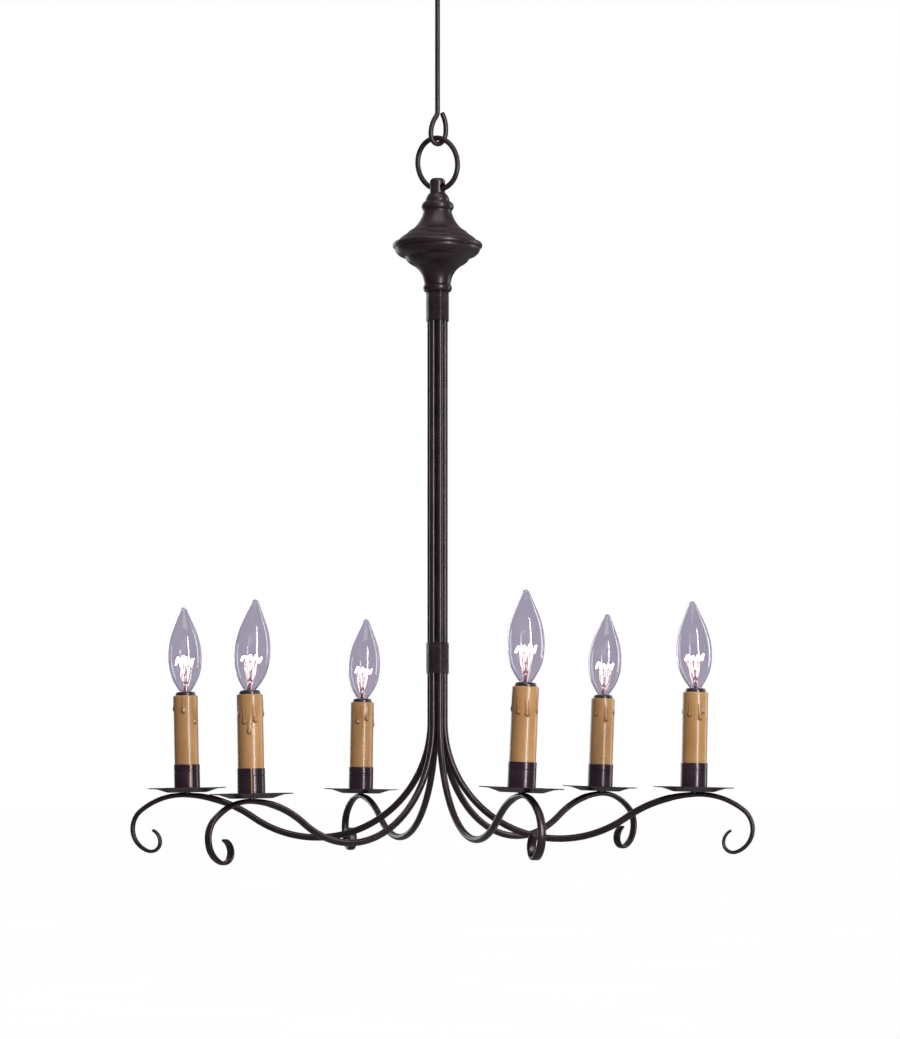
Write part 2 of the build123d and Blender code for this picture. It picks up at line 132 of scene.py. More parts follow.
# Candle, measured up its own axis from the pan's underside.
LAMP_PIVOT = 93.6
PAN_R = 36.6
PAN_HOLE_R = 3.05
PAN_FLAT_R = 18.4
PAN_BEND_R = 28.2
PAN_SHEET = 0.8
PAN_RIM_Z = 4.6
CUP_R = 12.1
CUP_HOLE_R = 3.1
CUP_WALL = 0.55
CUP_TOP = 26.1
CUP_SEAM = 1.5
CUP_GROOVE_Z = 19.7
SEAM_AZIMUTHS = [60.0, 100.0, 45.0, 297.0, 276.0, 80.0]
SLEEVE_R = 11.4
SLEEVE_FOOT = 1.7
SLEEVE_TOP = 90.3
SLEEVE_MOUTH_R = 9.5
GLASS_NECK_R = 5.3
GLASS_SKIN = 0.42
GLASS_FOOT = 87.6
FLAME_FOOT = (6.4, 95.73)
FLAME_HEADING = 58.0
FLAME_MOVES = [(None, 5.6), (42.0, 25.4), (69.3, 29.6), (None, 19.0)]
CANDLE_LEANS = [1.1, 2.0, 1.0, -1.1, -1.0, 2.3]
BULB_LEANS = [-2.4, 2.9, 2.8, -1.3, 3.6, 0.2]

# Wax runs on each sleeve: azimuth and the depth of the bead below the top.
WAX_RUNS = [
    [(-120.0, 21.0), (-72.0, 24.0), (-55.0, 18.0), (20.0, 16.0), (80.0, 23.0), (160.0, 19.0)],
    [(-125.0, 16.0), (-75.0, 21.0), (-20.0, 14.0), (45.0, 22.0), (120.0, 17.0)],
    [(-110.0, 20.0), (-62.0, 17.0), (0.0, 23.0), (70.0, 15.0), (150.0, 21.0)],
    [(-160.0, 13.0), (-96.0, 15.0), (-38.0, 25.0), (30.0, 19.0), (105.0, 16.0)],
    [(-143.0, 17.7), (-114.0, 24.5), (-66.0, 23.0), (-90.0, 33.0), (10.0, 18.0), (90.0, 22.0)],
    [(-165.0, 20.0), (-120.0, 22.4), (-82.0, 24.0), (-28.0, 21.0), (50.0, 17.0), (115.0, 24.0)],
]


def bench(points):
    """Millimetres in the bench frame as metres in the row frame."""
    return (np.asarray(points, float) - (0, 0, HANG_HEIGHT)) * MM


# ---------------------------------------------------------------- materials

def new_material(name, **values):
    """A Principled material with these sockets set, its node tree and its shader."""
    made = bpy.data.materials.new(name)
    made.use_nodes = True
    tree = made.node_tree
    shader = tree.nodes["Principled BSDF"]
    for socket, value in values.items():
        shader.inputs[socket.replace("_", " ")].default_value = value
    return made, tree, shader


def noise_node(tree, scale, detail=4.0, roughness=0.55, stretch=(1, 1, 1)):
    """Noise laid out in metres over the piece."""
    place = tree.nodes.new("ShaderNodeTexCoord")
    mapping = tree.nodes.new("ShaderNodeMapping")
    mapping.inputs["Scale"].default_value = stretch
    tree.links.new(place.outputs["Object"], mapping.inputs["Vector"])
    texture = tree.nodes.new("ShaderNodeTexNoise")
    texture.inputs["Scale"].default_value = scale
    texture.inputs["Detail"].default_value = detail
    texture.inputs["Roughness"].default_value = roughness
    tree.links.new(mapping.outputs["Vector"], texture.inputs["Vector"])
    return texture.outputs["Fac"]


def ramp_node(tree, factor, stops):
    """A colour ramp over a factor."""
    ramp = tree.nodes.new("ShaderNodeValToRGB")
    elements = ramp.color_ramp.elements
    while len(elements) < len(stops):
        elements.new(0.5)
    for element, (place, colour) in zip(elements, stops):
        element.position = place
        element.color = (*colour, 1.0)
    tree.links.new(factor, ramp.inputs["Fac"])
    return ramp.outputs["Color"]


def range_node(tree, factor, low, high, start=0.3, end=0.7):
    """A factor stretched to a range of values."""
    mapped = tree.nodes.new("ShaderNodeMapRange")
    mapped.inputs["From Min"].default_value = start
    mapped.inputs["From Max"].default_value = end
    mapped.inputs["To Min"].default_value = low
    mapped.inputs["To Max"].default_value = high
    tree.links.new(factor, mapped.inputs["Value"])
    return mapped.outputs["Result"]


def bump_node(tree, height, strength, distance, under=None):
    """A bump from a height, on top of another bump."""
    bump = tree.nodes.new("ShaderNodeBump")
    bump.inputs["Strength"].default_value = strength
    bump.inputs["Distance"].default_value = distance
    tree.links.new(height, bump.inputs["Height"])
    if under is not None:
        tree.links.new(under, bump.inputs["Normal"])
    return bump.outputs["Normal"]


def mix_node(tree, factor, first, second):
    """A colour socket mixed with a plain colour by a factor."""
    mix = tree.nodes.new("ShaderNodeMix")
    mix.data_type = "RGBA"
    tree.links.new(factor, mix.inputs["Factor"])
    tree.links.new(first, mix.inputs["A"])
    mix.inputs["B"].default_value = (*second, 1.0)
    return mix.outputs["Result"]


def make_iron(name, shades, rough, lumps):
    """Hand-rubbed dark bronze over forged iron: blotched colour, uneven sheen, a soft hammered skin."""
    made, tree, shader = new_material(
        name, Metallic=0.3, Specular_IOR_Level=0.5, Coat_Weight=0.12, Coat_Roughness=0.2
    )
    blotches = noise_node(tree, 38.0, 5.0, 0.6)
    colour = ramp_node(tree, blotches, [(0.32, shades[0]), (0.5, shades[1]), (0.72, shades[2])])
    specks = noise_node(tree, 260.0, 4.0)
    rubbed = range_node(tree, specks, 0.0, 0.22, 0.56, 0.78)
    tree.links.new(mix_node(tree, rubbed, colour, shades[3]), shader.inputs["Base Color"])
    sheen = noise_node(tree, 140.0, 4.0)
    tree.links.new(range_node(tree, sheen, *rough), shader.inputs["Roughness"])
    grain = bump_node(tree, noise_node(tree, 230.0, 2.0), 0.035, 0.0005)
    forged = bump_node(tree, noise_node(tree, 130.0, 2.0), lumps, 0.0014, grain)
    tree.links.new(forged, shader.inputs["Normal"])
    return made


def make_wax():
    """Glossy honey-coloured candle cover, deeper amber where wax lies thick in a bead, with painted shade
    round each bead and along each run's edges.
    """
    made, tree, shader = new_material(
        "honey_wax", Roughness=0.34, Specular_IOR_Level=0.4, Coat_Weight=0.32, Coat_Roughness=0.14
    )
    clouds = noise_node(tree, 55.0, 4.0, 0.55, (1, 1, 0.35))
    colour = ramp_node(tree, clouds, [
        (0.3, (0.345, 0.180, 0.060)), (0.5, (0.405, 0.220, 0.080)), (0.72, (0.475, 0.270, 0.108))
    ])
    # Per-point value of thick wax and painted shade, stored on the sleeve's mesh.
    pool_shade_reader = tree.nodes.new("ShaderNodeAttribute")
    pool_shade_reader.attribute_name = "wax_pool_and_shade"
    pooled_and_shade = range_node(tree, pool_shade_reader.outputs["Fac"], 0.0, 0.85, 0.05, 0.75)
    # Mixes towards dark amber for thick wax in the beads and for the painted shade round beads and along run
    # edges.
    tree.links.new(mix_node(tree, pooled_and_shade, colour, (0.12, 0.036, 0.006)), shader.inputs["Base Color"])
    soft = bump_node(tree, noise_node(tree, 120.0, 3.0, 0.5, (1, 1, 0.4)), 0.12, 0.0006)
    tree.links.new(soft, shader.inputs["Normal"])
    return made


def make_moulding():
    """Black moulded socket with a faint warm bloom."""
    made, tree, shader = new_material("black_moulding", Specular_IOR_Level=0.5, Coat_Weight=0.3)
    mottle = noise_node(tree, 300.0, 3.0)
    colour = ramp_node(tree, mottle, [(0.3, (0.010, 0.007, 0.010)), (0.7, (0.028, 0.018, 0.024))])
    tree.links.new(colour, shader.inputs["Base Color"])
    tree.links.new(range_node(tree, mottle, 0.22, 0.36), shader.inputs["Roughness"])
    tree.links.new(bump_node(tree, noise_node(tree, 1800.0), 0.1, 0.0001), shader.inputs["Normal"])
    return made


def make_metal(name, dull, bright, rough):
    """Plain drawn metal with faint tarnish."""
    made, tree, shader = new_material(name, Metallic=1.0)
    tarnish = noise_node(tree, 260.0, 4.0)
    tree.links.new(ramp_node(tree, tarnish, [(0.3, dull), (0.7, bright)]), shader.inputs["Base Color"])
    tree.links.new(range_node(tree, tarnish, *rough), shader.inputs["Roughness"])
    tree.links.new(bump_node(tree, noise_node(tree, 2400.0), 0.08, 0.0001), shader.inputs["Normal"])
    return made


def make_glass_material(name, colour, rough, wave):
    """Clear blown glass with a faint tint and slow waves in its skin."""
    made, tree, shader = new_material(
        name, Transmission_Weight=1.0, IOR=1.47, Roughness=rough, Base_Color=(*colour, 1.0)
    )
    waves = bump_node(tree, noise_node(tree, 90.0, 1.0), wave, 0.0006)
    tree.links.new(waves, shader.inputs["Normal"])
    streaks = noise_node(tree, 40.0, 2.0, 0.5, (1, 1, 0.3))
    paler = tuple(min(1.0, part * 1.04) for part in colour)
    tint = ramp_node(tree, streaks, [(0.3, colour), (0.7, paler)])
    tree.links.new(tint, shader.inputs["Base Color"])
    return made


def make_filament():
    """White-hot coiled tungsten."""
    made, tree, shader = new_material("hot_filament", Roughness=0.5)
    heat = noise_node(tree, 500.0, 2.0)
    glow = ramp_node(tree, heat, [(0.3, (1.0, 0.80, 0.60)), (0.7, (1.0, 0.93, 0.84))])
    tree.links.new(glow, shader.inputs["Base Color"])
    tree.links.new(glow, shader.inputs["Emission Color"])
    shader.inputs["Emission Strength"].default_value = 13.0
    made.cycles.emission_sampling = "NONE"
    return made


def make_floor():
    """A plain studio floor: white where the camera sees it, matt grey to every other ray."""
    made, tree, shader = new_material("studio_floor", Roughness=1.0, Specular_IOR_Level=0.0)
    shade = ramp_node(tree, noise_node(tree, 3.0), [(0.3, (0.36, 0.35, 0.37)), (0.7, (0.38, 0.37, 0.39))])
    tree.links.new(shade, shader.inputs["Base Color"])
    paper = tree.nodes.new("ShaderNodeEmission")
    white = ramp_node(tree, noise_node(tree, 3.0), [(0.3, (1.0, 1.0, 1.0)), (0.7, (0.985, 0.985, 0.99))])
    tree.links.new(white, paper.inputs["Color"])
    ray = tree.nodes.new("ShaderNodeLightPath")
    either = tree.nodes.new("ShaderNodeMixShader")
    tree.links.new(ray.outputs["Is Camera Ray"], either.inputs["Fac"])
    tree.links.new(shader.outputs["BSDF"], either.inputs[1])
    tree.links.new(paper.outputs["Emission"], either.inputs[2])
    tree.links.new(either.outputs["Shader"], tree.nodes["Material Output"].inputs["Surface"])
    return made


iron = make_iron(
    "forged_bronze",
    ((0.0085, 0.0036, 0.0056), (0.0175, 0.0078, 0.0108), (0.0330, 0.0160, 0.0200), (0.070, 0.042, 0.048)),
    (0.26, 0.38),
    0.07,
)
pan_iron = make_iron(
    "pan_bronze",
    ((0.0095, 0.0042, 0.0054), (0.0170, 0.0080, 0.0098), (0.0300, 0.0150, 0.0175), (0.052, 0.031, 0.035)),
    (0.42, 0.55),
    0.12,
)
turned_iron = make_iron(
    "turned_bronze",
    ((0.0110, 0.0052, 0.0072), (0.0205, 0.0105, 0.0135), (0.0340, 0.0185, 0.0225), (0.060, 0.037, 0.044)),
    (0.34, 0.40),
    0.02,
)
cup_iron = make_iron(
    "cup_bronze",
    ((0.0160, 0.0066, 0.0125), (0.0290, 0.0130, 0.0225), (0.0480, 0.0240, 0.0370), (0.085, 0.050, 0.070)),
    (0.20, 0.28),
    0.03,
)
wire_iron = make_iron(
    "binding_wire",
    ((0.0130, 0.0070, 0.0085), (0.0320, 0.0190, 0.0215), (0.0640, 0.0420, 0.0440), (0.150, 0.110, 0.108)),
    (0.28, 0.42),
    0.05,
)
wax = make_wax()
moulding = make_moulding()
brass = make_metal("drawn_brass", (0.55, 0.38, 0.14), (0.78, 0.60, 0.28), (0.25, 0.42))
nickel = make_metal("nickel_plate", (0.50, 0.48, 0.45), (0.78, 0.76, 0.72), (0.16, 0.30))
copper = make_metal("lead_in_wire", (0.52, 0.34, 0.27), (0.86, 0.68, 0.56), (0.25, 0.40))
jacket, jacket_tree, jacket_shader = new_material("lead_jacket", Roughness=0.5)
jacket_colour = ramp_node(
    jacket_tree, noise_node(jacket_tree, 400.0), [(0.3, (0.02, 0.02, 0.02)), (0.7, (0.05, 0.05, 0.05))]
)
jacket_tree.links.new(jacket_colour, jacket_shader.inputs["Base Color"])
glass = make_glass_material("lamp_glass", (0.905, 0.885, 0.94), 0.0, 0.12)
stem_glass = make_glass_material("stem_glass", (0.84, 0.60, 0.64), 0.14, 0.3)
filament = make_filament()


# ---------------------------------------------------------------- mesh tools

def add_piece(name, points, faces, look, body, slot, replaces, crease, pool_shade_per_point=None):
    """A mesh in the row frame (metres), shaded smooth between creases, riding on a body."""
    mesh = bpy.data.meshes.new(name)
    mesh.from_pydata([tuple(point) for point in points], [], faces)
    # Per-point thick wax and painted shade round wax beads and run edges, for the wax material.
    if pool_shade_per_point is not None:
        attribute = mesh.attributes.new("wax_pool_and_shade", "FLOAT", "POINT")
        attribute.data.foreach_set("value", np.asarray(pool_shade_per_point, np.float32))
    built = bmesh.new()
    built.from_mesh(mesh)
    bmesh.ops.remove_doubles(built, verts=built.verts, dist=2e-7)
    bmesh.ops.recalc_face_normals(built, faces=built.faces)
    built.to_mesh(mesh)
    built.free()
    mesh.shade_smooth()
    mesh.set_sharp_from_angle(angle=math.radians(crease))
    mesh.materials.append(look)
    piece = bpy.data.objects.new(name, mesh)
    bpy.context.scene.collection.objects.link(piece)
    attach(piece, body)
    if replaces:
        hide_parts(*replaces)


def skin(rings, closed=False):
    """Faces over rows of ring points, with the ends capped unless the rows close on themselves."""
    rings = np.asarray(rings, float)
    rows, around = rings.shape[:2]
    faces = []
    for row in range(rows if closed else rows - 1):
        here, there = row * around, (row + 1) % rows * around
        for side in range(around):
            after = (side + 1) % around
            faces.append((here + side, here + after, there + after, there + side))
    if not closed:
        faces.append(tuple(range(around - 1, -1, -1)))
        faces.append(tuple((rows - 1) * around + side for side in range(around)))
    return rings.reshape(-1, 3), faces


def join_meshes(parts):
    """Several (points, faces) as one."""
    points, faces, offset = [], [], 0
    for part_points, part_faces in parts:
        points.append(np.asarray(part_points, float))
        faces += [tuple(offset + corner for corner in face) for face in part_faces]
        offset += len(part_points)
    return np.concatenate(points), faces


def travel(start, heading, moves, step):
    """Points along runs (None, length) and tangent arcs (radius, signed turn), and each one's heading."""
    x, y = start
    angle = math.radians(heading)
    track = [(x, y, angle)]
    for radius, amount in moves:
        length = amount if radius is None else radius * math.radians(abs(amount))
        count = max(3, math.ceil(length / step))
        turn = 0.0 if radius is None else math.radians(amount) / count
        chord = length / count if radius is None else 2 * radius * math.sin(abs(turn) / 2)
        for _ in range(count):
            angle += turn / 2
            x += chord * math.cos(angle)
            y += chord * math.sin(angle)
            angle += turn / 2
            track.append((x, y, angle))
    return np.array(track)


def distances(points):
    """How far along its line each point lies."""
    steps = np.linalg.norm(np.diff(points, axis=0), axis=1)
    return np.concatenate([[0.0], np.cumsum(steps)])


# Hammer marks: their length along a bar, their closeness round it, and the depth that keeps them all inward.
LUMP_LENGTH = 6.5
LUMP_ROUND = 1.7
LUMP_DEPTH = 1.6


def sweep(points, across, half, sides=24, closed=False, squareness=2.0, lumps=0.0, seed=0.0):
    """Rings of a rounded section along a line; across is the direction that its width lies in."""
    points = np.asarray(points, float)
    count = len(points)
    pairs = np.asarray(half, float).reshape(-1, 2) if np.ndim(half) else [half, half]
    half = np.broadcast_to(pairs, (count, 2))
    squareness = np.broadcast_to(squareness, count)
    lumps = np.broadcast_to(lumps, count)
    if closed:
        tangents = np.roll(points, -1, 0) - np.roll(points, 1, 0)
    else:
        tangents = np.gradient(points, axis=0)
    tangents /= np.linalg.norm(tangents, axis=1)[:, None]
    across = np.broadcast_to(across, (count, 3))
    normals = np.cross(tangents, across)
    normals /= np.linalg.norm(normals, axis=1)[:, None]
    wide = np.cross(normals, tangents)
    turn = np.arange(sides) * 2 * math.pi / sides
    power = 2.0 / squareness[:, None]
    cosine, sine = np.cos(turn)[None], np.sin(turn)[None]
    high = np.sign(cosine) * np.abs(cosine) ** power * half[:, :1]
    side = np.sign(sine) * np.abs(sine) ** power * half[:, 1:]
    if np.any(lumps > 0):
        along = distances(points)
        swell = np.array([
            [
                noise.noise(Vector((
                    length / LUMP_LENGTH + seed, LUMP_ROUND * math.cos(angle), LUMP_ROUND * math.sin(angle)
                )))
                for angle in turn
            ]
            for length in along
        ])
        grow = 1 + (swell - LUMP_DEPTH) * lumps[:, None]
        high, side = high * grow, side * grow
    return points[:, None] + normals[:, None] * high[..., None] + wide[:, None] * side[..., None]


def rounded(outline, radius, steps=4):
    """A closed outline of (radius, height) points with each corner rounded off."""
    outline = np.asarray(outline, float)
    soft = []
    for index, corner in enumerate(outline):
        before, after = outline[index - 1], outline[(index + 1) % len(outline)]
        back, ahead = before - corner, after - corner
        reach_back = min(radius, 0.45 * np.linalg.norm(back))
        reach_ahead = min(radius, 0.45 * np.linalg.norm(ahead))
        first = corner + back / np.linalg.norm(back) * reach_back
        last = corner + ahead / np.linalg.norm(ahead) * reach_ahead
        for step in range(steps + 1):
            share = step / steps
            soft.append((1 - share) ** 2 * first + 2 * share * (1 - share) * corner + share**2 * last)
    return np.array(soft)


def turn_outline(outline, segments, first=0.0, last=360.0, shape=None):
    """Revolve a closed outline about Z. shape(radius, height, angle) may shift a point."""
    outline = np.asarray(outline, float)
    whole = last - first >= 360.0
    angles = np.radians(np.linspace(first, last, segments, endpoint=not whole))
    rings = []
    for angle in angles:
        ring = []
        for radius, height in outline:
            if shape:
                radius, height = shape(radius, height, angle)
            ring.append((radius * math.cos(angle), radius * math.sin(angle), height))
        rings.append(ring)
    return skin(rings, closed=whole)


# ---------------------------------------------------------------- forged arms

def section_table(lengths, start):
    """Half sizes, squareness and lumps at each length along an arm; start is where forging begins."""
    share = np.clip((lengths - start) / (lengths[-1] - start), 0, 1)
    stations = np.array(FORGED_SECTIONS)
    thick, wide, square = (np.interp(share, stations[:, 0], stations[:, column]) for column in (1, 2, 3))
    kernel = np.hanning(9)
    kernel /= kernel.sum()
    thick, wide, square = (
        np.convolve(np.pad(values, 4, mode="edge"), kernel, "valid") for values in (thick, wide, square)
    )
    lumps = np.where(lengths < start, 0.010, 0.040)
    return np.stack([thick, wide], 1), square, lumps


def make_arm(index):
    """A round tube, forged flat and square-ended towards the tip of its scroll."""
    turn, lift, bend = ARM_TRIMS[index]
    moves = [
        (None, TUBE_TOP - FLARE_Z - lift),
        (FLARE[0], FLARE[1] + bend),
        (None, RISE_LENGTH),
        (SHOULDER[0], -SHOULDER[1]),
        (BROW[0], -BROW[1]),
        (SCROLL[0], -SCROLL[1]),
        (CURL[0], -CURL[1]),
        (TIP[0], -TIP[1]),
    ]
    track = travel((0.0, TUBE_TOP), -90.0, moves, 1.6)
    lengths = distances(track[:, :2])
    arc_lengths = [
        amount if radius is None else radius * math.radians(abs(amount)) for radius, amount in moves
    ]
    half, square, lumps = section_table(lengths, sum(arc_lengths[:4]) - FORGE_LEAD)
    tip, tip_half = track[-1], half[-1]
    for reach, scale in TIP_ROUNDING:
        end = (tip[0] + reach * math.cos(tip[2]), tip[1] + reach * math.sin(tip[2]), tip[2])
        track = np.vstack([track, end])
        half = np.vstack([half, tip_half * scale])
        square = np.append(square, square[-1])
        lumps = np.append(lumps, lumps[-1])
    seat = math.radians(FIRST_ARM_AZIMUTH + 360.0 / ARMS * index)
    plane = seat + math.radians(turn)
    outward = np.array([math.cos(plane), math.sin(plane), 0.0])
    across = np.array([math.sin(plane), -math.cos(plane), 0.0])
    base = np.array([math.cos(seat), math.sin(seat), 0.0]) * TUBE_CIRCLE_R
    points = base + track[:, :1] * outward + track[:, 1:2] * np.array([0.0, 0.0, 1.0])
    rings = sweep(points, across, half, 32, squareness=square, lumps=lumps, seed=11.0 * index)
    number = index + 1
    add_piece(
        f"forged_arm_{number}", *skin(bench(rings)), iron,
        "chandelier", "forged_iron", (f"arm_{number}",), 50.0
    )


# ---------------------------------------------------------------- wire bindings

def hexagon_turn(radius):
    """One turn round the six tubes: a short arc over each tube and a straight reach to the next."""
    points = []
    for index in range(ARMS):
        seat = math.radians(FIRST_ARM_AZIMUTH + 360.0 / ARMS * index)
        for step in range(7):
            angle = seat + math.radians(-30.0 + 10.0 * step)
            x = TUBE_CIRCLE_R * math.cos(seat) + radius * math.cos(angle)
            y = TUBE_CIRCLE_R * math.sin(seat) + radius * math.sin(angle)
            points.append((x, y))
    return np.array(points)


def make_bindings():
    """Each binding as its real wire: close turns, not quite even, with the end tucked across."""
    draw = random.Random(7)
    parts = []
    wire = BINDING_WIRE / 2
    for low, high in BINDING_SPANS:
        turn = hexagon_turn(TUBE_R + 0.05 + wire)
        per_turn = len(turn)
        turns = int((high - low - BINDING_WIRE) / BINDING_PITCH)
        drift = [draw.uniform(-0.13, 0.13) for _ in range(turns + 2)]
        swell = [draw.uniform(0.0, 0.10) for _ in range(turns + 2)]
        points = []
        for step in range(turns * per_turn + 1):
            whole, part = divmod(step, per_turn)
            share = part / per_turn
            height = low + wire + (whole + share) * (high - low - BINDING_WIRE) / turns
            height += drift[whole] * (1 - share) + drift[whole + 1] * share
            grow = 1 + (swell[whole] * (1 - share) + swell[whole + 1] * share) / 10.0
            x, y = turn[part] * grow
            points.append((x, y, min(max(height, low + wire), high - wire)))
        rings = sweep(points, (0.0, 0.0, 1.0), wire, 8)
        parts.append(skin(bench(rings)))
        parts.append(skin(bench(tucked_end(turn * TUCK_OVER, high, wire))))
    add_piece(
        "binding_wires", *join_meshes(parts), wire_iron,
        "chandelier", "forged_iron", ("wire_bindings",), 60.0
    )


def tucked_end(turn, high, wire):
    """The wire's last half turn, laid back slantwise over the others."""
    points = []
    for step in range(TUCK_POINTS):
        x, y = turn[(TUCK_START + step) % len(turn)]
        points.append((x, y, high - TUCK_DROP - TUCK_SLANT * step))
    return sweep(points, (0.0, 0.0, 1.0), wire * 0.9, 8)


# ---------------------------------------------------------------- turned chamber

# Outlines from top to foot: corners, and between two of them the point that an arc passes.
UPPER_SHELL = [
    (12.6, 532.9), "arc", (14.9, 529.1), (13.2, 525.2), (13.0, 524.4), "arc", (16.4, 515.8), (22.8, 508.0),
    "arc", (26.6, 505.6), (29.4, 502.7), "arc", (33.3, 500.3), (36.3, 497.3), (38.2, 496.1),
    "arc", (41.3, 493.2), (39.8, 490.6),
]
LOWER_SHELL = [
    (39.4, 490.5), (39.0, 488.6), "arc", (36.8, 485.4), (32.4, 483.0), (30.0, 482.2),
    "arc", (27.6, 478.6), (23.4, 475.6), "arc", (15.6, 468.2), (12.2, 458.0), (12.0, 457.2),
    "arc", (13.3, 453.9), (11.4, 450.4),
]
UPPER_INSIDE = [
    (37.6, 490.6), (28.6, 499.2), "arc", (16.2, 508.6), (11.2, 522.0),
    (11.2, 529.0), (4.8, 529.0), (4.8, 532.9),
]
LOWER_INSIDE = [
    (9.7, 450.4), (9.7, 461.0), "arc", (13.6, 470.4), (21.6, 478.0), (28.2, 484.6), (35.0, 490.5),
]


def arc_through(first, middle, last, count=24):
    """Points on the circle through three points, after the first."""
    ax, ay = first
    bx, by = middle
    cx, cy = last
    spread = 2 * (ax * (by - cy) + bx * (cy - ay) + cx * (ay - by))
    squares = ax * ax + ay * ay, bx * bx + by * by, cx * cx + cy * cy
    x = (squares[0] * (by - cy) + squares[1] * (cy - ay) + squares[2] * (ay - by)) / spread
    y = (squares[0] * (cx - bx) + squares[1] * (ax - cx) + squares[2] * (bx - ax)) / spread
    start = math.atan2(ay - y, ax - x)
    turn = (math.atan2(cy - y, cx - x) - start + math.pi) % (2 * math.pi) - math.pi
    radius = math.hypot(ax - x, ay - y)
    angles = start + turn * np.arange(1, count + 1) / count
    return [(x + radius * math.cos(angle), y + radius * math.sin(angle)) for angle in angles]


def drawn_outline(outline):
    """An outline of corners and arcs as a dense line."""
    line = [outline[0]]
    rest = iter(outline[1:])
    for corner in rest:
        if corner == "arc":
            line += arc_through(line[-1], next(rest), next(rest))
        else:
            line.append(corner)
    return np.array(line)


def softened(line, step, width):
    """A line resampled evenly and smoothed, as paint softens turned edges."""
    along = distances(line)
    even = np.arange(0.0, along[-1], step)
    smooth = []
    reach = int(3 * width / step)
    weights = np.exp(-0.5 * (np.arange(-reach, reach + 1) * step / width) ** 2)
    weights /= weights.sum()
    for column in range(2):
        values = np.interp(even, along, line[:, column])
        smooth.append(np.convolve(np.pad(values, reach, mode="edge"), weights, "valid"))
    return np.stack(smooth, 1)


def make_shell(node, name, outside, inside):
    """A spun shell with soft ridges, a hair out of true as a hand-finished one is."""
    outline = np.vstack([softened(drawn_outline(outside), 0.3, 0.26), drawn_outline(inside)])

    def wobble(radius, height, angle):
        swing = noise.noise(Vector((math.cos(angle), math.sin(angle), height / 9.0)))
        return radius * (1 + 0.004 * swing), height

    points, faces = turn_outline(outline, 144, shape=wobble)
    add_piece(name, bench(points), faces, turned_iron, "chandelier", "forged_iron", (node,), 60.0)


# ---------------------------------------------------------------- ring and rod

def make_ring():
    """A hand-bent oval ring with the faint line of its closed joint."""
    count = 220
    slant, yaw = math.radians(RING_SLANT), math.radians(RING_YAW)
    across = np.array([math.cos(yaw + math.pi / 2), math.sin(yaw + math.pi / 2), 0.0])
    along = np.array([math.cos(yaw), math.sin(yaw), 0.0])
    points, halves = [], []
    for step in range(count):
        angle = 2 * math.pi * step / count
        u, v = RING_LONG * math.cos(angle), RING_SHORT * math.sin(angle)
        flat = (u * math.cos(slant) - v * math.sin(slant), u * math.sin(slant) + v * math.cos(slant))
        points.append(along * flat[0] + np.array([0.0, 0.0, RING_CENTRE_Z + flat[1]]))
        nick = 0.94 if step == RING_JOINT_STEP else 1.0
        halves.append((RING_WIRE_R * nick, RING_WIRE_R * nick))
    rings = sweep(points, across, halves, 28, closed=True, lumps=0.012, seed=3.0)
    add_piece(
        "bent_ring", *skin(bench(rings), closed=True), turned_iron,
        "ring", "forged_iron", ("hanging_ring",), 60.0
    )


def make_rod():
    """The rod with its bent eye, and the screw thread cut on its top end."""
    moves = [(None, ROD_SHOULDER - ROD_BEND_Z)] + EYE_TURNS
    track = travel((0.0, ROD_SHOULDER), -90.0, moves, 0.9)
    yaw = math.radians(EYE_YAW)
    outward = np.array([math.cos(yaw), math.sin(yaw), 0.0])
    across = np.array([math.sin(yaw), -math.cos(yaw), 0.0])
    points = track[:, :1] * outward + track[:, 1:2] * np.array([0.0, 0.0, 1.0])
    halves = np.full((len(points), 2), ROD_R)
    halves[0] *= 0.9
    halves[-1] *= 0.72
    halves[-2] *= 0.93
    rings = sweep(points, across, halves, 28, lumps=0.012, seed=29.0)
    body = skin(bench(rings))
    sides = 40
    rings = []
    rows = int((ROD_TOP - ROD_SHOULDER + THREAD_OVERLAP) / THREAD_ROW)
    for row in range(rows + 1):
        height = ROD_SHOULDER - THREAD_OVERLAP + THREAD_ROW * row
        ring = []
        for side in range(sides):
            angle = 2 * math.pi * side / sides
            phase = (height / THREAD_PITCH - side / sides) % 1.0
            flank = min(1.0, 2.6 * (1 - abs(2 * phase - 1)))
            taper = min(1.0, (ROD_TOP - height) / 0.8 + 0.1)
            radius = THREAD_ROOT_R + (THREAD_CREST_R - THREAD_ROOT_R) * flank * taper
            ring.append((radius * math.cos(angle), radius * math.sin(angle), height))
        rings.append(ring)
    thread = skin(bench(rings))
    add_piece("eye_rod", *join_meshes([body, thread]), turned_iron, "rod", "forged_iron", ("hook_rod",), 40.0)


# ---------------------------------------------------------------- candles

def candle_place(number):
    """The candle's own frame, from its lamp's turning axis: the pan's underside at zero, in metres."""
    joint = next(joint for joint in frame["joints"] if joint["name"] == f"bulb_{number}_turn")
    up = Vector(joint["axis"]).normalized()
    side = Vector((0.0, 1.0, 0.0)).cross(up).normalized()
    front = up.cross(side)
    foot = Vector(joint["pos_m"]) - up * LAMP_PIVOT * MM
    place = Matrix((side, front, up)).transposed().to_4x4()
    place.translation = foot
    return np.array(place)


def placed(place, points):
    """Points in a candle's frame (mm) as metres in the row frame."""
    points = np.asarray(points, float) * MM
    return points @ place[:3, :3].T + place[:3, 3]


